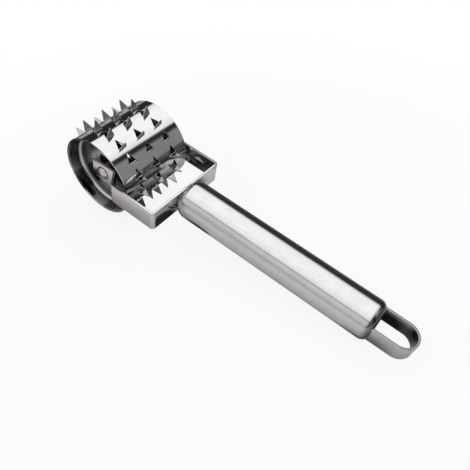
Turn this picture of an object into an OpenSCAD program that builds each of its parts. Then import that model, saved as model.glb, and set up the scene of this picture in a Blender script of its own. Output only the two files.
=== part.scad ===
// Rolling meat tenderizer: a spiked sheet-metal drum that turns between the arms of a bent strip fork,
// on a hollow handle with a hanging loop. X runs along the handle towards the loop, Y along the axle.
// The origin is the middle of the handle's grip, on its axis.

/* [Drum] */
// Outside diameter of the rolled shell
drum_d = 43; // [38:0.5:46]
// Length of the shell along the axle
drum_len = 44; // [41:0.5:60]
// Thickness of the drum's sheet, shell and caps alike
sheet_t = 0.6; // [0.5:0.05:0.8]
// Rows of spikes round the shell
spike_rows = 16; // [10:1:17]
// Spikes in a row
spikes_in_row = 3; // [1:1:3]
// Distance between the spikes of a row
spike_pitch = 12.3; // [8:0.1:12.8]
// Width of a spike at its root
spike_w = 4.8; // [3:0.1:5.5]
// Height of a spike above the shell
spike_h = 5.2; // [3:0.1:6]
// Width of the blunted spike tip
spike_tip_w = 0.3; // [0.2:0.05:0.6]
// Turn of the drum at rest, measured from the handle side
drum_phase = 19.7; // [0:0.1:22.5]

/* [End caps] */
// Depth of the drawn recess at each end of the drum
cap_depth = 7; // [5.5:0.1:8]
// Inside fillet between the recess wall and its disc
cap_fillet = 2; // [1.2:0.1:3]
// How far the cap's rim stands back from the shell's edge
cap_inset = 0.3; // [0.1:0.05:0.8]
// Radial fit between cap and shell
cap_fit = 0.05; // [0.02:0.01:0.1]

/* [Rivets and washers] */
// Diameter of a rivet's shank
rivet_d = 3; // [2.4:0.1:4]
// Diameter of the domed head
rivet_head_d = 5.8; // [5:0.1:7]
// Height of the domed head
rivet_head_h = 1.3; // [1:0.1:1.8]
// Diameter of the peened tail inside the drum
rivet_tail_d = 4.6; // [4.4:0.1:5.6]
// Running clearance of the shank in the cap, on the radius
bearing_gap = 0.06; // [0.02:0.01:0.09]
// Clearance of the shank in the arm and the washers, on the radius
shank_fit = 0.05; // [0.02:0.01:0.1]
// Diameter of the spacer washers
spacer_d = 9; // [7:0.5:10]
// Thickness of the spacer washers
spacer_t = 1.4; // [0.6:0.1:2.5]
// Diameter of the washers inside the drum
inner_washer_d = 7.5; // [6:0.5:9]
// Thickness of the washers inside the drum
inner_washer_t = 0.8; // [0.5:0.1:1.2]
// End play on each side of a washer
washer_play = 0.2; // [0.1:0.05:0.3]

/* [Fork] */
// Clearance between the drum's ends and the sides of the fork
side_gap = 1.8; // [1:0.1:3]
// Width of the strip that the fork is bent from
strip_h = 11.5; // [9:0.5:13]
// Thickness of that strip
strip_t = 1.2; // [1:0.1:1.5]
// Open window between the spike tips and the fork's back bar
window = 13.1; // [8:0.1:20]
// Length of an arm behind the axle, up to its step
arm_root = 8; // [6:0.5:9]
// Length of an arm in front of the axle
arm_nose = 7; // [5:0.5:9]
// Length along the handle that the step takes
step_run = 5.5; // [5:0.5:8]
// Corner radius of an arm's nose
nose_r = 2.5; // [1:0.5:4]
// Inside bend radius of the strip
bend_r = 0.8; // [0.5:0.1:1.5]

/* [Handle] */
// Outside diameter of the handle
handle_d = 20.4; // [18:0.2:24]
// Wall of the handle's tube and caps
handle_wall = 0.8; // [0.6:0.1:1.2]
// Length of the plain tube between the end caps
tube_len = 96; // [70:1:130]
// Length of each end cap
end_cap_len = 7; // [6:0.5:10]
// Shoulder radius of the cap at the fork
head_shoulder = 5; // [3:0.1:5.4]
// Shoulder radius of the cap at the loop
tail_shoulder = 4; // [2:0.1:5]
// Reach of the weld beads along the handle
weld_reach = 0.9; // [0.6:0.1:1.4]

/* [Hanging loop] */
// Outside width of the loop
loop_w = 15; // [13:0.5:16]
// Width of the loop's strip
loop_h = 8.9; // [7:0.1:10]
// Thickness of the loop's strip
loop_t = 1.2; // [1:0.1:1.5]
// How far the loop stands out behind the handle
loop_reach = 18.5; // [14:0.5:30]
// Length of the loop's legs inside the handle
leg_in = 5; // [3:0.5:10]
// Clearance of the legs in their slots
slot_fit = 0.1; // [0.05:0.05:0.2]

/* [Hidden] */
$fn = 96;

over = 1;
bend_step = 7.5;
steel = [0.80, 0.80, 0.81];
satin_steel = [0.72, 0.72, 0.73];
dull_steel = [0.55, 0.55, 0.56];

handle_r = handle_d / 2;
tube_end = tube_len / 2;
handle_end = tube_end + end_cap_len;

shell_r = drum_d / 2;
shell_in_r = shell_r - sheet_t;
cap_r = shell_in_r - cap_fit;
cap_rim_y = drum_len / 2 - cap_inset;
disc_y = drum_len / 2 - cap_depth;
disc_in_y = disc_y - sheet_t;

row_angle = 360 / spike_rows;
hole_len = spike_h;
root_land = 0.1;
hole_turn = asin(hole_len / 2 / shell_r);

bar_x = -handle_end;
bar_reach = shell_r + spike_h + window + strip_t;
axle_x = bar_x - bar_reach;
fork_w = drum_len + 2 * (side_gap + strip_t);
arm_in_y = disc_y + spacer_t + 2 * washer_play;
arm_y = arm_in_y + strip_t;
shank_r = rivet_d / 2;
inner_washer_y = disc_in_y - washer_play;
tail_y = inner_washer_y - inner_washer_t;
tail_h = rivet_head_h * 0.8;

// Drum

module along_y(y0, y1) {
    translate([0, y0, 0]) rotate([-90, 0, 0]) linear_extrude(y1 - y0) children();
}

// A child profile drawn with its radius along X and its axle position along Y, turned round the axle
module round_axle() {
    translate([axle_x, 0, 0]) rotate([-90, 0, 0]) rotate_extrude() children();
}

// Moves a child to the foot of a spike: X outwards from the axle, Z round the drum
module at_row(i, turn = 0) {
    rotate([0, -(drum_phase + i * row_angle + turn), 0]) children();
}

function row_places() = [for (j = [0 : spikes_in_row - 1]) (j - (spikes_in_row - 1) / 2) * spike_pitch];

// The flat spike, sheared on two sides and bent up square along its root
module spike(y) {
    foot = shell_r - sheet_t / 2;
    translate([0, y, -sheet_t - root_land])
        linear_extrude(sheet_t)
            polygon([[foot, -spike_w / 2], [shell_r, -spike_w / 2],
                     [shell_r + spike_h, -spike_tip_w / 2], [shell_r + spike_h, spike_tip_w / 2],
                     [shell_r, spike_w / 2], [foot, spike_w / 2]]);
}

// The hole that the spike was lanced from, with its point away from the spike's root
module spike_hole(y) {
    translate([shell_r - 3 * sheet_t, y, -hole_len / 2])
        rotate([0, 90, 0])
            linear_extrude(5 * sheet_t)
                polygon([[0, -spike_w / 2], [0, spike_w / 2], [-hole_len, 0]]);
}

module drum_shell() {
    land_turn = row_angle / 2 - hole_turn;
    color(steel)
        translate([axle_x, 0, 0]) {
            difference() {
                // the sheet's own seam lies on the land between two rows
                at_row(0, -land_turn) along_y(-drum_len / 2, drum_len / 2)
                    difference() {
                        circle(shell_r);
                        circle(shell_in_r);
                    }
                for (i = [0 : spike_rows - 1], y = row_places())
                    at_row(i, hole_turn) spike_hole(y);
            }
            for (i = [0 : spike_rows - 1], y = row_places())
                at_row(i) spike(y);
        }
}

// Drawn cup: rim outwards, disc inwards, bored for the rivet
module end_cap() {
    bore_r = shank_r + bearing_gap;
    outer_fillet = cap_fillet + sheet_t;
    color(steel)
        round_axle() {
            // wall of the recess
            translate([cap_r - sheet_t, disc_in_y + outer_fillet])
                square([sheet_t, cap_rim_y - disc_in_y - outer_fillet]);
            // disc
            translate([bore_r, disc_in_y])
                square([cap_r - outer_fillet - bore_r, sheet_t]);
            // fillet between them
            translate([cap_r - outer_fillet, disc_in_y + outer_fillet])
                intersection() {
                    difference() {
                        circle(outer_fillet);
                        circle(cap_fillet);
                    }
                    translate([0, -outer_fillet]) square(outer_fillet);
                }
        }
}

module end_cap_left() {
    mirror([0, 1, 0]) end_cap();
}

module end_cap_right() {
    end_cap();
}

// Rivets and washers

// A shallow dome of the given base radius and height, with its base at y and its crown at y + h
module dome(r, y, h) {
    ball_r = (r * r + h * h) / (2 * h);
    intersection() {
        translate([0, y + h - ball_r]) circle(ball_r);
        translate([0, y]) square([r, h]);
    }
}

module rivet() {
    color(steel)
        round_axle() {
            translate([0, tail_y]) square([shank_r, arm_y - tail_y]);
            dome(rivet_head_d / 2, arm_y, rivet_head_h);
            mirror([0, 1]) dome(rivet_tail_d / 2, -tail_y, tail_h);
        }
}

module rivet_left() {
    mirror([0, 1, 0]) rivet();
}

module rivet_right() {
    rivet();
}

module washer(d, y, t) {
    bore_r = shank_r + shank_fit;
    color(dull_steel)
        round_axle()
            translate([bore_r, y]) square([d / 2 - bore_r, t]);
}

module spacer_left() {
    mirror([0, 1, 0]) spacer_right();
}

module spacer_right() {
    washer(spacer_d, disc_y + washer_play, spacer_t);
}

module inner_washer_left() {
    mirror([0, 1, 0]) inner_washer_right();
}

module inner_washer_right() {
    washer(inner_washer_d, tail_y, inner_washer_t);
}

// Bent strip: a path of corner points on the strip's middle line, joined by arcs

function heading(p, q) = atan2(q.y - p.y, q.x - p.x);
function turn_at(path, i) =
    let (d = heading(path[i], path[i + 1]) - heading(path[i - 1], path[i]))
    d > 180 ? d - 360 : d < -180 ? d + 360 : d;
function is_end(path, i) = i == 0 || i == len(path) - 1;
function trim_at(path, i, r) = is_end(path, i) ? 0 : r * tan(abs(turn_at(path, i)) / 2);

// Points of one bend, on the side of the strip that lies off to the left of the path
function bend_points(path, i, r, off) =
    let (turn = turn_at(path, i), side = sign(turn), start = heading(path[i - 1], path[i]),
         back = trim_at(path, i, r),
         centre = path[i] - back * [cos(start), sin(start)] + side * r * [-sin(start), cos(start)],
         steps = ceil(abs(turn) / bend_step))
    [for (k = [0 : steps])
        let (a = start + turn * k / steps)
        centre + (off - side * r) * [-sin(a), cos(a)]];

// One edge of the strip, from its first end to its last, off to the left of the path
function strip_edge(path, r, off) = [
    for (i = [0 : len(path) - 1])
        let (a = i == 0 ? heading(path[0], path[1]) : heading(path[i - 1], path[i]))
        each is_end(path, i) ? [path[i] + off * [-sin(a), cos(a)]] : bend_points(path, i, r, off)
];

// Flat outline of a strip of thickness t that follows the path with bends of middle radius r
module bent_strip(path, t, r) {
    there = strip_edge(path, r, t / 2);
    back = strip_edge(path, r, -t / 2);
    polygon(concat(there, [for (i = [len(back) - 1 : -1 : 0]) back[i]]));
}

function mirrored(path) = [for (i = [len(path) - 1 : -1 : 0]) [path[i].x, -path[i].y]];

// Fork

side_y = fork_w / 2 - strip_t / 2;
arm_mid_y = arm_y - strip_t / 2;
bend_mid_r = bend_r + strip_t / 2;
left_half = [[axle_x + arm_root - bend_mid_r - over, -arm_mid_y],
             [axle_x + arm_root, -arm_mid_y],
             [axle_x + arm_root + step_run, -side_y],
             [bar_x - strip_t / 2, -side_y]];
fork_path = concat(left_half, mirrored(left_half));
arm_back = left_half[0].x - axle_x + over;

// Side view of an arm: square at its root, with two round corners on its nose
module arm_outline() {
    translate([-arm_nose + nose_r, -strip_h / 2])
        square([arm_back + arm_nose - nose_r, strip_h]);
    translate([-arm_nose, -strip_h / 2 + nose_r])
        square([arm_nose, strip_h - 2 * nose_r]);
    for (s = [-1, 1])
        translate([-arm_nose + nose_r, s * (strip_h / 2 - nose_r)]) circle(nose_r);
}

module fork() {
    color(steel) {
        translate([0, 0, -strip_h / 2])
            linear_extrude(strip_h) bent_strip(fork_path, strip_t, bend_mid_r);
        translate([axle_x, 0, 0])
            for (y = [-arm_y, arm_in_y])
                along_y(y, y + strip_t)
                    difference() {
                        arm_outline();
                        circle(shank_r + shank_fit);
                    }
    }
}

// Handle

// A child profile drawn with its radius along X and its place along the handle along Y
module round_handle(x) {
    translate([x, 0, 0]) rotate([0, 90, 0]) rotate([0, 0, 90]) rotate_extrude() children();
}

// Outline of a drawn cap that closes the tube, from its flat end at 0 to its open edge at end_cap_len
module cap_profile(shoulder) {
    inner = shoulder - handle_wall;
    square([handle_r - shoulder, handle_wall]);
    translate([handle_r - handle_wall, shoulder])
        square([handle_wall, end_cap_len - shoulder]);
    translate([handle_r - shoulder, shoulder])
        intersection() {
            difference() {
                circle(shoulder);
                circle(inner);
            }
            translate([0, -shoulder]) square(shoulder);
        }
}

module handle_head_cap() {
    color(satin_steel)
        round_handle(bar_x) cap_profile(head_shoulder);
}

module handle_tube() {
    color(satin_steel)
        translate([-tube_end, 0, 0]) rotate([0, 90, 0])
            linear_extrude(tube_len)
                difference() {
                    circle(handle_r);
                    circle(handle_r - handle_wall);
                }
}

module handle_tail_cap() {
    slot_y = loop_w / 2 - loop_t - slot_fit;
    color(satin_steel)
        difference() {
            mirror([1, 0, 0]) round_handle(-handle_end) cap_profile(tail_shoulder);
            for (s = [-1, 1])
                translate([handle_end - tail_shoulder - over,
                           s > 0 ? slot_y : -slot_y - loop_t - 2 * slot_fit, -loop_h / 2 - slot_fit])
                    cube([tail_shoulder + 2 * over, loop_t + 2 * slot_fit, loop_h + 2 * slot_fit]);
        }
}

// Beads in the notch between the fork's back bar and the cap's shoulder, one on each side
module fork_welds() {
    notch_r = handle_r - head_shoulder;
    bead_h = strip_h - over;
    color(dull_steel)
        intersection() {
            round_handle(bar_x)
                intersection() {
                    difference() {
                        translate([notch_r + over, 0]) square([head_shoulder - over, weld_reach]);
                        translate([notch_r, head_shoulder]) circle(head_shoulder);
                    }
                    translate([notch_r + weld_reach, 0]) circle(1.7 * weld_reach);
                }
            translate([bar_x - over, -fork_w / 2, -bead_h / 2])
                cube([2 * over + weld_reach, fork_w, bead_h]);
        }
}

// Hanging loop

module hanging_loop() {
    leg_y = loop_w / 2 - loop_t / 2;
    leg_start = handle_end - leg_in;
    crown_x = handle_end + loop_reach - loop_w / 2;
    color(steel)
        translate([0, 0, -loop_h / 2])
            linear_extrude(loop_h) {
                for (s = [-1, 1])
                    translate([leg_start, s * leg_y - loop_t / 2]) square([crown_x - leg_start, loop_t]);
                translate([crown_x, 0])
                    difference() {
                        circle(loop_w / 2);
                        circle(loop_w / 2 - loop_t);
                        translate([-loop_w, -loop_w / 2 - over]) square([loop_w, loop_w + 2 * over]);
                    }
            }
}

drum_shell();
end_cap_left();
end_cap_right();
rivet_left();
rivet_right();
spacer_left();
spacer_right();
inner_washer_left();
inner_washer_right();
fork();
fork_welds();
handle_head_cap();
handle_tube();
handle_tail_cap();
hanging_loop();
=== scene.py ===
"""Rolling meat tenderizer: spiked drum, bent strip fork, hollow handle and hanging loop, all in stainless steel."""
import math

import bmesh
import bpy
from mathutils import Matrix, Vector


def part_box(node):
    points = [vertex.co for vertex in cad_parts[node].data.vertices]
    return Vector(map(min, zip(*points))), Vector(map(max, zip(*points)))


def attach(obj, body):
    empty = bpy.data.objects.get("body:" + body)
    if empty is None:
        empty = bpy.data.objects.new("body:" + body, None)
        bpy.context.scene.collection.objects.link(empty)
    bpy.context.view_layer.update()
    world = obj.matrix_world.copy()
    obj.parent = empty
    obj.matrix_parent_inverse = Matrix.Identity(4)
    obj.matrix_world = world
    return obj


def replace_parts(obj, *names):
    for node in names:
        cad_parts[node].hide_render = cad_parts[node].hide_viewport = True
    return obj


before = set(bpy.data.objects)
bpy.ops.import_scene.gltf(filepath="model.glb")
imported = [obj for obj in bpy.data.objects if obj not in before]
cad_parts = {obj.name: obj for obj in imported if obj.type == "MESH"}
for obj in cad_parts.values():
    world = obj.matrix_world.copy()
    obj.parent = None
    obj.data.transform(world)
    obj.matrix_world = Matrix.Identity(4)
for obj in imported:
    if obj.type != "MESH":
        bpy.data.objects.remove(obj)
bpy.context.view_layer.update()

# Metres. The handle lies along X with the loop at +X, and the drum turns about Y.
AXLE = Vector((-0.0960, 0.0, 0.0))
REST_TILT = math.radians(6.34)  # of the floor against the handle, as the tool lies
REST_DROP = 0.02636  # from the axle square down to the floor


# ---- camera ----

def product_camera(azimuth, elevation, roll, distance, aim, lens):
    """A camera that looks at aim from the given angles, turned by roll about its own view line."""
    a, e, r = (math.radians(v) for v in (azimuth, elevation, roll))
    back = Vector((math.sin(a) * math.cos(e), -math.cos(a) * math.cos(e), math.sin(e)))
    side = Vector((0, 0, 1)).cross(back).normalized()
    top = back.cross(side)
    x_axis = side * math.cos(r) + top * math.sin(r)
    y_axis = top * math.cos(r) - side * math.sin(r)
    camera = bpy.data.objects.new("product_camera", bpy.data.cameras.new("product_camera"))
    bpy.context.scene.collection.objects.link(camera)
    turn = Matrix((x_axis, y_axis, back)).transposed().to_4x4()
    camera.matrix_world = Matrix.Translation(aim + back * distance) @ turn
    camera.data.sensor_width = 36
    camera.data.lens = lens
    camera.data.clip_start = 0.01
    bpy.context.scene.camera = camera


CAMERA_AIM = AXLE + Vector((0.07451, -0.00355, 0))
product_camera(azimuth=27.7, elevation=50.6, roll=12.1, distance=0.23101, aim=CAMERA_AIM, lens=36.69)


# ---- node helpers ----

AO_SAMPLES = 8


def rgba(tone, factor=1.0):
    """A socket's colour from a tone of three numbers, made lighter or darker by factor."""
    return tuple(factor * v for v in tone) + (1,)


class Graph:
    """A material's or the world's node tree, built a node at a time."""

    def __init__(self, tree):
        self.tree = tree
        tree.nodes.clear()

    def add(self, kind, links=None, **settings):
        node = self.tree.nodes.new(kind)
        for key, value in settings.items():
            setattr(node, key, value)
        for socket, value in (links or {}).items():
            self.put(node.inputs[socket], value)
        return node

    def put(self, socket, value):
        if isinstance(value, bpy.types.NodeSocket):
            self.tree.links.new(value, socket)
        elif value is not None:
            socket.default_value = value

    def math(self, operation, a, b=None, c=None):
        return self.add("ShaderNodeMath", {0: a, 1: b, 2: c}, operation=operation).outputs[0]

    def vector(self, operation, a, b=None):
        """Vector arithmetic: the outputs, "Vector" or "Value" by the operation."""
        return self.add("ShaderNodeVectorMath", {0: a, 1: b}, operation=operation).outputs

    def split(self, vector):
        return self.add("ShaderNodeSeparateXYZ", {0: vector}).outputs

    def fade(self, value, low, high, at_low=0.0, at_high=1.0, **settings):
        """Runs from at_low to at_high while value goes from low to high, and stays there beyond."""
        limits = {0: value, 1: low, 2: high, 3: at_low, 4: at_high}
        return self.add("ShaderNodeMapRange", limits, **settings).outputs[0]

    def ramp(self, fac, stops):
        """Colours along fac: each stop is (place from 0 to 1, grey tone or colour)."""
        node = self.add("ShaderNodeValToRGB", {0: fac})
        ramp = node.color_ramp
        while len(ramp.elements) > 1:
            ramp.elements.remove(ramp.elements[-1])
        for i, (place, colour) in enumerate(stops):
            stop = ramp.elements[0] if i == 0 else ramp.elements.new(place)
            stop.position = place
            colour = colour if isinstance(colour, tuple) else (colour,) * 3
            stop.color = (*colour, 1)
        return node.outputs[0]

    def mix(self, fac, a, b, blend="MIX"):
        node = self.add("ShaderNodeMix", data_type="RGBA", blend_type=blend)
        self.put(node.inputs[0], fac)
        self.put(node.inputs[6], a)
        self.put(node.inputs[7], b)
        return node.outputs[2]

    def open_air(self, distance):
        """1 where nothing is near, down to 0 deep in a corner."""
        return self.add("ShaderNodeAmbientOcclusion", {"Distance": distance}, samples=AO_SAMPLES).outputs["AO"]


# ---- studio light: what the steel reflects ----

# By the angle round the handle: -90 degrees is the floor, 0 is behind, 90 overhead and 180 in front.
ROUND_HANDLE = [
    (-180, 0.52), (-90, 0.42), (-60, 0.05), (32, 0.03), (42, 1.10), (52, 1.28), (100, 1.32), (128, 1.18),
    (138.5, 1.05), (140.5, 0.40), (144.5, 0.36), (147, 0.82), (158, 0.76), (172, 0.60), (180, 0.52),
]
# By one axis of the direction, from -1 to 1.
OVERHEAD_BY_X = [(-0.70, 0.0), (-0.66, 1.0), (0.10, 1.0), (0.36, 0.85), (0.43, 0.0)]
NARROW_LIGHT_BY_Y = [(-0.12, 0.0), (0.04, 1.0), (0.32, 1.0), (0.46, 0.0)]
NARROW_LIGHT_BY_Z = [(0.52, 0.0), (0.80, 0.55)]
LEFT_BEHIND_BY_Z = [
    (-1, (0.10, 0.06, 0.05)), (-0.30, (0.12, 0.07, 0.06)), (-0.22, (0.50, 0.40, 0.38)),
    (-0.03, (0.46, 0.40, 0.38)), (0.08, 0.03), (1, 0.015),
]
LEFT_FRONT_TONE = (0.52, 0.51, 0.51)
LEFT_TURNS_BACK_BY_Y = [(-0.16, 0.0), (0.10, 1.0)]
RIGHT_BY_Z = [(-0.05, 0.03), (0.0, 0.27), (1, 0.30)]
RIGHT_BY_X = [(0.53, 0.10), (0.62, 1.0)]
RIGHT_BY_Y = [(-0.56, 1.2), (-0.36, 0.10), (-0.12, 0.10), (0.08, 1.0)]


def span(stops, low, high):
    """Stops from low to high, moved to a ramp's places from 0 to 1."""
    return [((place - low) / (high - low), tone) for place, tone in stops]


def studio_world():
    """White overhead light, grey card in front and to the right, dark cards behind and to the left."""
    world = bpy.data.worlds.new("studio")
    bpy.context.scene.world = world
    world.use_nodes = True
    g = Graph(world.node_tree)
    toward = g.split(g.add("ShaderNodeTexCoord").outputs["Generated"])
    x01, y01, z01 = (g.math("MULTIPLY_ADD", axis, 0.5, 0.5) for axis in toward)

    def by_axis(axis, stops):
        return g.ramp(axis, span(stops, -1, 1))

    def both(a, b):
        return g.mix(1.0, a, b, "MULTIPLY")

    round_handle = g.math("MULTIPLY_ADD", g.math("ARCTAN2", toward[2], toward[1]), 0.5 / math.pi, 0.5)
    front_to_back = g.ramp(round_handle, span(ROUND_HANDLE, -180, 180))
    narrow_light = both(by_axis(y01, NARROW_LIGHT_BY_Y), by_axis(z01, NARROW_LIGHT_BY_Z))
    overhead = g.mix(1.0, by_axis(x01, OVERHEAD_BY_X), narrow_light, "LIGHTEN")
    left_side = g.mix(by_axis(y01, LEFT_TURNS_BACK_BY_Y), rgba(LEFT_FRONT_TONE), by_axis(z01, LEFT_BEHIND_BY_Z))
    right_side = both(both(by_axis(z01, RIGHT_BY_Z), by_axis(x01, RIGHT_BY_X)), by_axis(y01, RIGHT_BY_Y))
    sides = g.mix(g.math("GREATER_THAN", toward[0], 0.0), left_side, right_side)
    seen_in_steel = g.mix(overhead, sides, front_to_back)
    camera_ray = g.add("ShaderNodeLightPath").outputs["Is Camera Ray"]
    colour = g.mix(camera_ray, seen_in_steel, (1, 1, 1, 1))
    shade = g.add("ShaderNodeBackground", {"Color": colour, "Strength": 1.0})
    g.add("ShaderNodeOutputWorld", {"Surface": shade.outputs[0]})


# ---- floor ----

FLOOR_RADIUS = 0.45
FLOOR_MIDDLE = Vector((0.08, 0, 0))  # from the axle, along the floor
FLOOR_TONE = (0.9, 0.9, 0.9)
SHADOW_REACH = (0.12, 0.30)  # from the origin: the floor that the camera sees turns plain white here
SHADOW_LIFT = 0.88  # share of plain white close to the tool, where its shadow shows
# Tone of the floor that the steel reflects, by Y: bright in front, and a dark band of painted shade behind, where the
# handle's shadow falls.
REFLECTED_SPAN = 0.2
REFLECTED_BY_Y = [(0.044, 0.70), (0.056, 0.04), (0.100, 0.05), (0.132, 0.12)]
REFLECTED_TINT = (1.0, 0.965, 0.97)
# Painted shadows in that reflection, where the tool's shade falls on the floor: (middle, radius of the dark part,
# radius where it ends).
PAINTED_SHADOW_SPOTS = (
    ((-0.034, 0.020, -0.0195), 0.011, 0.018), ((0.054, 0.004, -0.0095), 0.009, 0.021),
    ((-0.047, -0.007, -0.0200), 0.007, 0.011), ((-0.150, -0.045, -0.0320), 0.010, 0.016),
    ((-0.156, -0.056, -0.0330), 0.008, 0.014), ((-0.143, -0.061, -0.0320), 0.007, 0.012),
    ((-0.122, -0.029, -0.0290), 0.004, 0.008),
)
PAINTED_SHADOW_TONE = 0.08
# Painted contact shadow: how hard the floor that the steel reflects darkens close under the tool: (from x, to x, power
# before, power after).
CONTACT_SHADOW_REACH = 0.04
UNDER_DRUM = (-0.066, -0.040, 3.0, 0.9)
UNDER_LOOP = (0.040, 0.060, 0.9, 1.8)


def floor_sheet():
    """Pale floor under the spikes and the bottom of the handle's tail, tilted as the tool lies."""
    bpy.ops.object.select_all(action="DESELECT")
    bpy.ops.mesh.primitive_circle_add(vertices=96, radius=FLOOR_RADIUS, fill_type="NGON")
    floor = bpy.context.active_object
    floor.name = "floor"
    slope = Matrix.Rotation(-REST_TILT, 4, "Y")
    down = slope @ Vector((0, 0, -REST_DROP))
    floor.data.transform(Matrix.Translation(AXLE + down) @ slope @ Matrix.Translation(FLOOR_MIDDLE))
    material = bpy.data.materials.new("pale_floor")
    material.use_nodes = True
    g = Graph(material.node_tree)
    place = g.add("ShaderNodeTexCoord").outputs["Object"]
    spot = g.split(place)
    rays = g.add("ShaderNodeLightPath").outputs

    lit = g.add("ShaderNodeBsdfDiffuse", {"Color": rgba(FLOOR_TONE)}).outputs[0]
    white = g.add("ShaderNodeEmission", {"Color": (1, 1, 1, 1), "Strength": 1.0}).outputs[0]
    plain = g.fade(g.vector("LENGTH", place)["Value"], *SHADOW_REACH, SHADOW_LIFT, 1.0, interpolation_type="SMOOTHSTEP")
    to_camera = g.add("ShaderNodeMixShader", {0: plain, 1: lit, 2: white}).outputs[0]

    # What the steel sees of the floor glows, with painted shade in it: a dark band behind, painted shadows, and
    # darkening close under the tool.
    ground = g.ramp(g.math("MULTIPLY_ADD", spot[1], 1 / REFLECTED_SPAN, 0.0), span(REFLECTED_BY_Y, 0, REFLECTED_SPAN))
    # painted shadows on the floor that the steel reflects
    for middle, near, far in PAINTED_SHADOW_SPOTS:
        away = g.vector("DISTANCE", place, middle)["Value"]
        ground = g.math("MULTIPLY", ground, g.fade(away, near, far, PAINTED_SHADOW_TONE, 1.0))
    # painted contact shadow, harder under the drum and the loop
    power = g.math("MAXIMUM", g.fade(spot[0], *UNDER_DRUM), g.fade(spot[0], *UNDER_LOOP))
    contact_shadow = g.math("POWER", g.open_air(CONTACT_SHADOW_REACH), power)
    seen = g.mix(g.math("MULTIPLY", ground, contact_shadow), (0, 0, 0, 1), rgba(REFLECTED_TINT))
    to_steel = g.add("ShaderNodeEmission", {"Color": seen, "Strength": 1.0}).outputs[0]

    by_glossy = g.add("ShaderNodeMixShader", {0: rays["Is Glossy Ray"], 1: lit, 2: to_steel}).outputs[0]
    final = g.add("ShaderNodeMixShader", {0: rays["Is Camera Ray"], 1: by_glossy, 2: to_camera}).outputs[0]
    g.add("ShaderNodeOutputMaterial", {"Surface": final})
    floor.data.materials.append(material)


# ---- steel finishes ----

DRAWN_OUT = 0.02  # the grain's scale along its axis, against across it
FLECK_SIZE, FLECK_DRAWN_OUT = 0.4, 0.12
CLOUD_SCALE = 160.0
RELIEF_DEPTH = 0.00002

EDGE_WIDTH = 0.00012
EDGE_TONE = (0.78, 0.78, 0.78)

# Painted shade in the cup's hollow: darker where ambient occlusion finds a corner.
CUP_HOLLOW = 0.016
CUP_SPAN = 0.025
# How much painted shade there is by the distance from the axle: the rounding between disc and wall stays bright.
CUP_SHADE_BY_DISTANCE = [(0.0175, 1.0), (0.018375, 0.15), (0.01975, 0.15), (0.0202, 1.0)]
HOLLOW_SHADE_TONE = (0.045, 0.040, 0.041)

# The sheared edges' tone is painted light: painted shade on the arms, darkest on the far arm, and a painted highlight
# at the bar.
ARM_TO_BAR = (-0.073, -0.061)  # along X, where the sheared edge turns from the arms' tone to the bar's
FAR_ARM = (0.0215, 0.0238)  # along Y
FAR_ARM_SHADE_TONE = 0.36

SPIKE_FOOT = (0.02165, 0.0224)  # from the axle
# Two lower spikes painted nearly black: painted shade, not soot.
SPIKE_SHADE_REACH = (0.0036, 0.0050)
SPIKE_SHADE_TONE = (0.018, 0.017, 0.018)
SHADED_SPIKES = (((-0.0746, -0.0123, -0.0101), 0.97), ((-0.0746, 0.0, -0.0101), 0.87))

# Dark blue on top of the tail's shoulder: partly heat tint, partly painted shade.
TINT_AND_SHADE_FROM = (0.0508, 0.0532)  # along X, on the tail's shoulder
TINT_AND_SHADE_ABOVE = (-0.005, 0.002)  # along Z
TINT_AND_SHADE_TONE = (0.085, 0.072, 0.105)
RUBBED_FROM = (0.050, 0.0545)  # from the handle's middle to either end
RUBBED_TONE = (0.45, 0.43, 0.45)


def off_axle(g, place):
    """Distance from the axle's line."""
    away = g.vector("ADD", place, tuple(-AXLE))["Vector"]
    flat = g.vector("MULTIPLY", away, (1, 0, 1))["Vector"]
    return g.vector("LENGTH", flat)["Value"]


def duller(g, polish, where, amount):
    """The roughness raised by amount in the given place."""
    return g.math("ADD", polish, g.math("MULTIPLY", where, amount))


def shaded_hollow(g, place, colour, amount):
    """Painted shade darkening the hollow of the cup."""
    hollow = g.fade(g.open_air(CUP_HOLLOW), 0.50, 0.97, amount, 0.0)
    rounding = g.ramp(g.math("MULTIPLY", off_axle(g, place), 1 / CUP_SPAN), span(CUP_SHADE_BY_DISTANCE, 0, CUP_SPAN))
    return g.mix(g.math("MULTIPLY", hollow, rounding), colour, rgba(HOLLOW_SHADE_TONE))


def sheared(g, place, colour, polish, tone, at_arms, at_bar):
    """The strip's sheared edges, above and below: duller, with a tone painted by place, darker along the arms and
    darkest on the far arm as painted shade, and a little lighter at the bar as a painted highlight.
    """
    up = g.split(g.add("ShaderNodeTexCoord").outputs["Normal"])[2]
    on_edge = g.fade(g.math("ABSOLUTE", up), 0.80, 0.95)
    spot = g.split(place)
    edge_colour = g.mix(g.fade(spot[0], *ARM_TO_BAR), rgba(tone, at_arms), rgba(tone, at_bar))
    edge_colour = g.mix(g.fade(spot[1], *FAR_ARM, 0.0, 0.9), edge_colour, rgba(tone, FAR_ARM_SHADE_TONE))
    return g.mix(on_edge, colour, edge_colour), duller(g, polish, on_edge, 0.15)


def spiked(g, place, colour, polish, tone, factor):
    """The spikes: darker than the sheet that they are lanced from, and two of them painted nearly black as shade."""
    on_spike = g.fade(off_axle(g, place), *SPIKE_FOOT)
    colour = g.mix(on_spike, colour, rgba(tone, factor))
    for middle, amount in SHADED_SPIKES:
        spike_shade = g.fade(g.vector("DISTANCE", place, middle)["Value"], *SPIKE_SHADE_REACH, amount, 0.0)
        colour = g.mix(g.math("MULTIPLY", spike_shade, on_spike), colour, rgba(SPIKE_SHADE_TONE))
    return colour, duller(g, polish, on_spike, 0.08)


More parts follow.
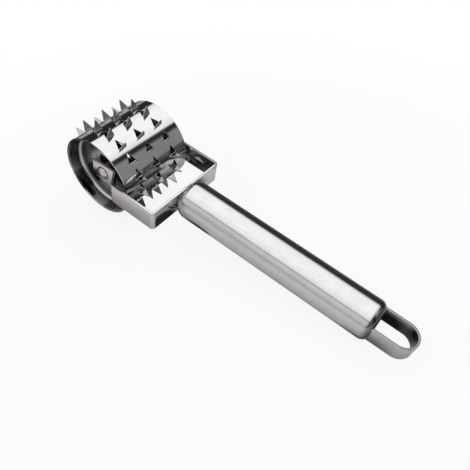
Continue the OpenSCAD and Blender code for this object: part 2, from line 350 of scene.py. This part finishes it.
def rubbed_tinted_and_shaded(g, place, cloudy, colour, polish):
    """The handle's ends: cloudy from the buffing, with a dark blue on top of the tail's shoulder that is partly heat
    tint and partly painted shade.
    """
    spot = g.split(place)
    tint_and_shade = g.math("MULTIPLY", g.fade(spot[0], *TINT_AND_SHADE_FROM, 0.0, 0.88), g.fade(spot[2], *TINT_AND_SHADE_ABOVE))
    colour = g.mix(tint_and_shade, colour, rgba(TINT_AND_SHADE_TONE))
    rubbed = g.math("MULTIPLY", g.fade(g.math("ABSOLUTE", spot[0]), *RUBBED_FROM), cloudy)
    colour = g.mix(g.math("MULTIPLY", rubbed, 0.4), colour, rgba(RUBBED_TONE))
    return colour, duller(g, polish, rubbed, 0.12)


def steel(name, tone, roughness, grain, grain_axis, bump, edge=EDGE_WIDTH, mottle=0.05,
          hollow_shade=0.0, cut=None, spike_tone=None, worked_and_shaded_ends=False):
    """Stainless steel: grain drawn out along one axis, cloudy polish, and edges rubbed bright and dull.

    hollow_shade is how much painted shade darkens a hollow, cut the tones of the sheared edges at the arms and at the
    bar, painted shade and highlight, and spike_tone the tone of the spikes, each a share of tone.
    worked_and_shaded_ends is for the handle's buffed ends and the tail's heat tint and painted shade."""
    material = bpy.data.materials.new(name)
    material.use_nodes = True
    g = Graph(material.node_tree)
    place = g.add("ShaderNodeTexCoord").outputs["Object"]

    def drawn(size, drawn_out, **noise):
        scale = [grain * size] * 3
        scale["XYZ".index(grain_axis)] = grain * drawn_out * size
        stretched = g.add("ShaderNodeMapping", {"Vector": place, "Scale": tuple(scale)}).outputs[0]
        return g.add("ShaderNodeTexNoise", {"Vector": stretched, "Scale": 1.0, **noise}).outputs[0]

    lines = drawn(1.0, DRAWN_OUT, Detail=3.0, Roughness=0.6)
    flecks = drawn(FLECK_SIZE, FLECK_DRAWN_OUT, Detail=4.0, Roughness=0.7)
    clouds = g.add("ShaderNodeTexNoise", {"Vector": place, "Scale": CLOUD_SCALE, "Detail": 3.0}).outputs[0]
    cloudy = g.math("ADD", g.math("MULTIPLY", flecks, 0.6), g.math("MULTIPLY", clouds, 0.4))
    cloudy = g.fade(cloudy, 0.36, 0.64)
    colour = g.mix(cloudy, rgba(tone, 1 - mottle), rgba(tone, 1 + mottle))
    polish = g.fade(lines, 0.3, 0.7, roughness * 0.75, roughness * 1.3)
    relief = g.add("ShaderNodeBump", {"Height": lines, "Strength": bump, "Distance": RELIEF_DEPTH})
    if hollow_shade:
        colour = shaded_hollow(g, place, colour, hollow_shade)
    if edge:
        rounded = g.add("ShaderNodeBevel", {"Radius": edge}, samples=4).outputs[0]
        flat = g.add("ShaderNodeNewGeometry").outputs["Normal"]
        worn = g.fade(g.vector("DOT_PRODUCT", rounded, flat)["Value"], 0.97, 0.85, 0.0, 0.7)
        colour = g.mix(worn, colour, rgba(EDGE_TONE))
        polish = duller(g, polish, worn, 0.18)
        g.put(relief.inputs["Normal"], rounded)
    if cut:
        colour, polish = sheared(g, place, colour, polish, tone, *cut)
    if spike_tone:
        colour, polish = spiked(g, place, colour, polish, tone, spike_tone)
    if worked_and_shaded_ends:
        colour, polish = rubbed_tinted_and_shaded(g, place, cloudy, colour, polish)
    shade = g.add("ShaderNodeBsdfPrincipled", {
        "Base Color": colour, "Metallic": 1.0, "Roughness": polish, "Normal": relief.outputs[0],
    })
    g.add("ShaderNodeOutputMaterial", {"Surface": shade.outputs[0]})
    return material


# name, tone, roughness, the grain's scale and axis, bump
DRUM_SHEET = steel("mirror_drum_sheet", (0.70, 0.695, 0.695), 0.07, 2500, "Y", 0.04, spike_tone=0.60)
CUP = steel("drawn_cup_steel", (0.62, 0.61, 0.61), 0.12, 2500, "Y", 0.04, hollow_shade=0.97)
STRIP = steel("polished_strip", (0.66, 0.65, 0.65), 0.10, 2200, "X", 0.06, cut=(0.62, 1.06))
LOOP = steel("polished_loop_strip", (0.62, 0.61, 0.61), 0.12, 2200, "X", 0.06, cut=(0.46, 0.46))
RIVET = steel("set_rivet_steel", (0.74, 0.70, 0.71), 0.24, 1800, "Y", 0.10)
# near-black tone: painted shade round the rivet heads
RIVET_SHADE_RING = steel("rivet_shade_ring_steel", (0.20, 0.18, 0.18), 0.26, 1800, "Y", 0.10, edge=0.00008)
HANDLE = steel("satin_handle_steel", (0.67, 0.67, 0.67), 0.15, 3200, "X", 0.22, edge=0, mottle=0.07, worked_and_shaded_ends=True)
DULL = steel("dull_washer_steel", (0.45, 0.45, 0.46), 0.35, 1500, "Z", 0.2)
BEAD = steel("weld_bead_steel", (0.50, 0.49, 0.48), 0.28, 1600, "Z", 0.25)

FINISH = {
    "drum_shell": DRUM_SHEET, "end_cap_left": CUP, "end_cap_right": CUP,
    "rivet_left": RIVET, "rivet_right": RIVET, "fork": STRIP, "hanging_loop": LOOP, "fork_welds": BEAD,
    "handle_tube": HANDLE, "handle_head_cap": HANDLE, "handle_tail_cap": HANDLE,
    "spacer_left": DULL, "spacer_right": DULL, "inner_washer_left": DULL, "inner_washer_right": DULL,
}
for node_name, finish in FINISH.items():
    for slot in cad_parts[node_name].material_slots:
        slot.material = finish


# ---- shop tools for the new pieces ----

HAIR = 1e-5  # closer than this counts as the same place
DOUBLE = 1e-6  # points closer than this are merged
STRIP_T = 0.0012
BEND_STEP = math.radians(7.5)
QUARTER_TURN = math.radians(90)


def fresh():
    """Back in object mode, with nothing selected."""
    if bpy.context.object and bpy.context.object.mode != "OBJECT":
        bpy.ops.object.mode_set(mode="OBJECT")
    bpy.ops.object.select_all(action="DESELECT")


def edit_all():
    """Open the new primitive in edit mode with its place in its mesh, all of it selected."""
    bpy.ops.object.transform_apply(location=True, rotation=True, scale=True)
    bpy.ops.object.mode_set(mode="EDIT")
    bpy.ops.mesh.select_all(action="SELECT")


def face_outwards():
    """Recalculate all of the open mesh, and leave edit mode."""
    bpy.ops.mesh.select_all(action="SELECT")
    bpy.ops.mesh.normals_make_consistent(inside=False)
    bpy.ops.object.mode_set(mode="OBJECT")


def pick_edges(test):
    """In edit mode, select the edges of the open mesh that pass the test, and nothing else."""
    bpy.ops.mesh.select_mode(type="EDGE")
    bpy.ops.mesh.select_all(action="DESELECT")
    mesh = bmesh.from_edit_mesh(bpy.context.object.data)
    for edge in mesh.edges:
        if test(edge):
            edge.select_set(True)
    mesh.select_flush_mode()
    bmesh.update_edit_mesh(bpy.context.object.data)


def use_modifier(piece, kind, **settings):
    modifier = piece.modifiers.new(kind.lower(), kind)
    for key, value in settings.items():
        setattr(modifier, key, value)
    bpy.context.view_layer.objects.active = piece
    bpy.ops.object.modifier_apply(modifier=modifier.name)


def ease_edges(strip, width):
    """Take the sharpness off the strip's four long edges and its ends."""
    use_modifier(strip, "BEVEL", width=width, segments=3, limit_method="ANGLE", angle_limit=math.radians(40))


def finish_piece(piece, name, material, smooth=35):
    """Name the piece, put its place in its mesh, and give it its finish."""
    fresh()
    piece.name = piece.data.name = name
    piece.select_set(True)
    bpy.context.view_layer.objects.active = piece
    bpy.ops.object.transform_apply(location=True, rotation=True, scale=True)
    bpy.ops.object.shade_smooth_by_angle(angle=math.radians(smooth))
    piece.data.materials.clear()
    piece.data.materials.append(material)
    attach(piece, "handle_frame")
    return piece


def bent_strip(start, width, bends):
    """A flat strip run out along +X from start: each bend is (run before it, middle radius, turn)."""
    fresh()
    bpy.ops.mesh.primitive_plane_add(size=1, location=start, rotation=(0, QUARTER_TURN, 0))
    strip = bpy.context.active_object
    strip.scale = (width, STRIP_T, 1)
    edit_all()
    at, heading = Vector(start), 0.0
    for run, radius, turn in bends:
        ahead = Vector((math.cos(heading), math.sin(heading), 0))
        bpy.ops.mesh.extrude_region_move(TRANSFORM_OT_translate={"value": ahead * run})
        at = at + ahead * run
        if turn:
            left = Vector((-ahead.y, ahead.x, 0)) * math.copysign(radius, turn)
            steps = math.ceil(abs(turn) / BEND_STEP)
            bpy.ops.mesh.spin(steps=steps, angle=-turn, center=at + left, axis=(0, 0, 1))
            heading += turn
            at = at + left - Matrix.Rotation(turn, 3, "Z") @ left
    bpy.ops.mesh.select_all(action="SELECT")
    bpy.ops.mesh.remove_doubles(threshold=DOUBLE)
    bpy.ops.mesh.normals_make_consistent(inside=False)
    return strip


# ---- fork ----

ARM_MID = 0.0174  # from the middle plane to the arm's middle, inside the cup
JOGGLE_FROM_AXLE, JOGGLE_RUN = 0.008, 0.0055
FORK_BEND = 0.0014
NOSE_R = 0.0015


def fork_strip():
    """One strip with a joggle near each end, so that its noses lie inside the drum's cups."""
    low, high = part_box("fork")
    side = high[1] - STRIP_T / 2
    root, step = AXLE.x + JOGGLE_FROM_AXLE, Vector((JOGGLE_RUN, side - ARM_MID, 0))
    slope = math.atan2(step.y, step.x)
    cut = FORK_BEND * math.tan(slope / 2)
    corner = high[0] - STRIP_T / 2 - FORK_BEND
    nose = root - cut - low[0]
    slant = step.length - 2 * cut
    reach = corner - (root + step.x + cut)
    across = 2 * (side - FORK_BEND)
    there = [(nose, FORK_BEND, -slope), (slant, FORK_BEND, slope), (reach, FORK_BEND, QUARTER_TURN)]
    back = [(across, FORK_BEND, QUARTER_TURN), (reach, FORK_BEND, slope), (slant, FORK_BEND, -slope), (nose, 0, 0)]
    strip = bent_strip((low[0], -ARM_MID, 0), high[2] - low[2], there + back)

    def at_nose(edge):
        a, b = (v.co for v in edge.verts)
        return abs(a.x - low[0]) < HAIR and abs(b.x - low[0]) < HAIR and abs(a.z - b.z) < HAIR

    pick_edges(at_nose)
    bpy.ops.mesh.bevel(offset=NOSE_R, segments=8, affect="EDGES")
    bpy.ops.object.mode_set(mode="OBJECT")
    ease_edges(strip, 0.00018)
    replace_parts(finish_piece(strip, "fork_strip", STRIP), "fork")


# ---- hanging loop ----

def loop_strip():
    """The hanging loop: a narrow strip bent round into a U, both legs going into the handle's end."""
    low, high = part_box("hanging_loop")
    crown = high[1] - STRIP_T / 2
    run = high[0] - high[1] - low[0]
    strip = bent_strip((low[0], -crown, 0), high[2] - low[2], [(run, crown, math.pi), (run, 0, 0)])
    bpy.ops.object.mode_set(mode="OBJECT")
    ease_edges(strip, 0.0002)
    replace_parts(finish_piece(strip, "loop_strip", LOOP), "hanging_loop")


# ---- handle ends ----

HANDLE_R = 0.0102
HANDLE_WALL = 0.0008
SHOULDER_STEPS = 16
DISC_INSET = 0.0004


def drawn_end(name, node, shoulder, outward):
    """The handle's closed end: the tube's edge carried on, drawn in over a rounded shoulder to a flat disc."""
    low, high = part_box(node)
    rim, flat = (low[0], high[0]) if outward > 0 else (high[0], low[0])
    fresh()
    bpy.ops.mesh.primitive_circle_add(vertices=96, radius=HANDLE_R, location=(rim, 0, 0), rotation=(0, QUARTER_TURN, 0))
    piece = bpy.context.active_object
    edit_all()
    bpy.ops.mesh.extrude_edges_move(TRANSFORM_OT_translate={"value": (flat - rim - outward * shoulder, 0, 0)})
    radius, reach = HANDLE_R, 0.0
    for i in range(1, SHOULDER_STEPS + 1):
        turn = QUARTER_TURN * i / SHOULDER_STEPS
        next_radius = HANDLE_R - shoulder * (1 - math.cos(turn))
        next_reach = shoulder * math.sin(turn)
        bpy.ops.mesh.extrude_edges_move(TRANSFORM_OT_translate={"value": (outward * (next_reach - reach), 0, 0)})
        size = next_radius / radius
        bpy.ops.transform.resize(value=(1, size, size), center_override=(flat, 0, 0))
        radius, reach = next_radius, next_reach
    bpy.ops.mesh.edge_face_add()
    bpy.ops.mesh.inset(thickness=DISC_INSET)
    face_outwards()
    use_modifier(piece, "SOLIDIFY", thickness=HANDLE_WALL, offset=-1)
    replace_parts(finish_piece(piece, name, HANDLE), node)


# ---- welds ----

BEAD_R = 0.00048
BEAD_RING = 0.0064  # from the handle's line to the bead's middle
BEAD_OUT = 0.0003  # from the bar to the bead's middle
BEAD_HALF = math.radians(45)
RIPPLES = 18
BEAD_TIP = 0.45
RIPPLE_SIZES = (0.80, 1.06)


def weld_beads():
    """Rippled beads in the notch between the fork's back bar and the handle's shoulder, one on each side."""
    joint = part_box("fork_welds")[0][0]
    middle_x, steps = joint + BEAD_OUT, 2 * RIPPLES
    fresh()
    bpy.ops.mesh.primitive_circle_add(vertices=14, radius=BEAD_R, location=(middle_x, BEAD_RING, 0))
    bead = bpy.context.active_object
    edit_all()
    bpy.ops.transform.rotate(value=BEAD_HALF, orient_axis="X", center_override=(0, 0, 0))
    first = bmesh.from_edit_mesh(bead.data).verts[:]
    start = math.atan2(sum(v.co.z for v in first), sum(v.co.y for v in first))
    bpy.ops.mesh.spin(steps=steps, angle=2 * start, center=(joint, 0, 0), axis=(1, 0, 0))
    for i in range(steps + 1):
        turn = start - 2 * start * i / steps
        middle = Vector((middle_x, BEAD_RING * math.cos(turn), BEAD_RING * math.sin(turn)))
        size = BEAD_TIP if i in (0, steps) else RIPPLE_SIZES[i % 2]
        bpy.ops.mesh.select_mode(type="VERT")
        bpy.ops.mesh.select_all(action="DESELECT")
        mesh = bmesh.from_edit_mesh(bead.data)
        for v in mesh.verts:
            v.select_set(abs(math.atan2(v.co.z, v.co.y) - turn) < abs(start) / steps)
        bmesh.update_edit_mesh(bead.data)
        bpy.ops.transform.resize(value=(size, size, size), center_override=middle)
    bpy.ops.mesh.select_all(action="SELECT")
    bpy.ops.mesh.fill_holes(sides=0)
    face_outwards()
    bpy.ops.object.duplicate()
    bpy.ops.transform.rotate(value=math.pi, orient_axis="X", center_override=(0, 0, 0))
    bpy.ops.object.transform_apply(location=True, rotation=True, scale=True)
    bead.select_set(True)
    bpy.context.view_layer.objects.active = bead
    bpy.ops.object.join()
    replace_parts(finish_piece(bead, "weld_beads", BEAD, smooth=50), "fork_welds")


# ---- rings round the rivets, dark as painted shade ----

# The lip's section in millimetres: (distance from the axle, height over the arm's face), from outside in.
LIP = [
    (3.75, -0.05), (3.75, 0.10), (3.62, 0.21), (3.45, 0.26), (3.25, 0.20), (3.08, 0.10), (2.93, 0.06), (2.93, -0.05),
]


def rivet_rings():
    """The low lip that setting a rivet raises round its head, on the outer face of each arm, toned dark as painted
    shade round the head.
    """
    radius, height = LIP[0]
    foot = -(ARM_MID + STRIP_T / 2) - height / 1000
    fresh()
    bpy.ops.mesh.primitive_circle_add(vertices=72, radius=radius / 1000, location=(AXLE.x, foot, 0),
                                      rotation=(QUARTER_TURN, 0, 0))
    ring = bpy.context.active_object
    edit_all()
    for next_radius, next_height in LIP[1:]:
        bpy.ops.mesh.extrude_edges_move(TRANSFORM_OT_translate={"value": (0, (height - next_height) / 1000, 0)})
        size = next_radius / radius
        bpy.ops.transform.resize(value=(size, 1, size), center_override=tuple(AXLE))
        radius, height = next_radius, next_height
    pick_edges(lambda edge: all(abs(v.co.y - foot) < HAIR for v in edge.verts))
    bpy.ops.mesh.bridge_edge_loops()
    face_outwards()
    bpy.ops.object.duplicate()
    other = bpy.context.active_object
    bpy.ops.transform.rotate(value=math.pi, orient_axis="X", center_override=tuple(AXLE))
    finish_piece(other, "rivet_ring_right", RIVET_SHADE_RING, smooth=60)
    finish_piece(ring, "rivet_ring_left", RIVET_SHADE_RING, smooth=60)


# ---- the tool, put together ----

fork_strip()
loop_strip()
drawn_end("head_end", "handle_head_cap", shoulder=0.005, outward=-1)
drawn_end("tail_end", "handle_tail_cap", shoulder=0.004, outward=1)
weld_beads()
rivet_rings()
studio_world()
floor_sheet()
bpy.context.scene.view_settings.view_transform = "Standard"
